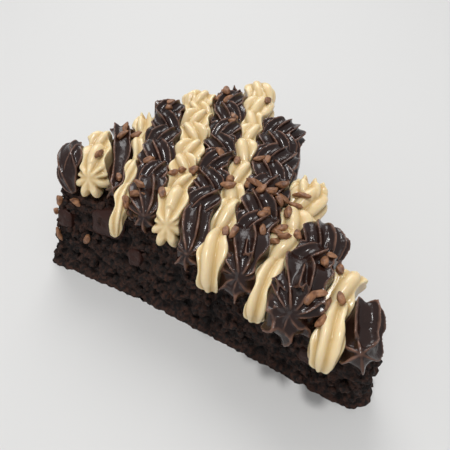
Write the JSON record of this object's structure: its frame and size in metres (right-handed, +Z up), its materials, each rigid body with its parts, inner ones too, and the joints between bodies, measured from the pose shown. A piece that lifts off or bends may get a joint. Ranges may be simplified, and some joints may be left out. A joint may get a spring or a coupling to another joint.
{
  "type": "brownie slice",
  "caption": "Wedge slice of chocolate brownie with piped rows of chocolate and cream icing, chopped nibs on the icing and chocolate chunks in the crumb.",
  "frame": {"origin": "on the flat underside, on the line from the slice's tip to the middle of its wide edge, 64 mm from the tip", "axes": "+Z up, -Y towards the tip of the slice, +Y towards its wide edge"},
  "size_m": [0.1191, 0.1342, 0.0519],
  "materials": {
    "brownie_crumb": "matt, rough, nearly black baked crumb",
    "chocolate_icing": "glossy dark chocolate buttercream, lighter and browner on its crests; the chopped nibs fused to it are matt milk brown",
    "cream_icing": "soft-gloss pale cream buttercream, slightly translucent",
    "solid_chocolate": "satin dark chocolate"
  },
  "bodies": {
    "root": {"brownie": "brownie_crumb", "chocolate_row_1": "chocolate_icing", "chocolate_row_2": "chocolate_icing", "chocolate_row_3": "chocolate_icing", "chocolate_row_4": "chocolate_icing", "chocolate_row_5": "chocolate_icing", "chocolate_row_6": "chocolate_icing", "chocolate_row_7": "chocolate_icing", "cream_row_1": "cream_icing", "cream_row_2": "cream_icing", "cream_row_3": "cream_icing", "cream_row_4": "cream_icing", "cream_row_5": "cream_icing", "cream_row_6": "cream_icing", "chocolate_chunk_1": "solid_chocolate", "chocolate_chunk_2": "solid_chocolate", "chocolate_chunk_3": "solid_chocolate", "chocolate_chunk_4": "solid_chocolate", "chocolate_chunk_5": "solid_chocolate", "chocolate_chunk_6": "solid_chocolate", "chocolate_chunk_7": "solid_chocolate"}
  },
  "joints": []
}
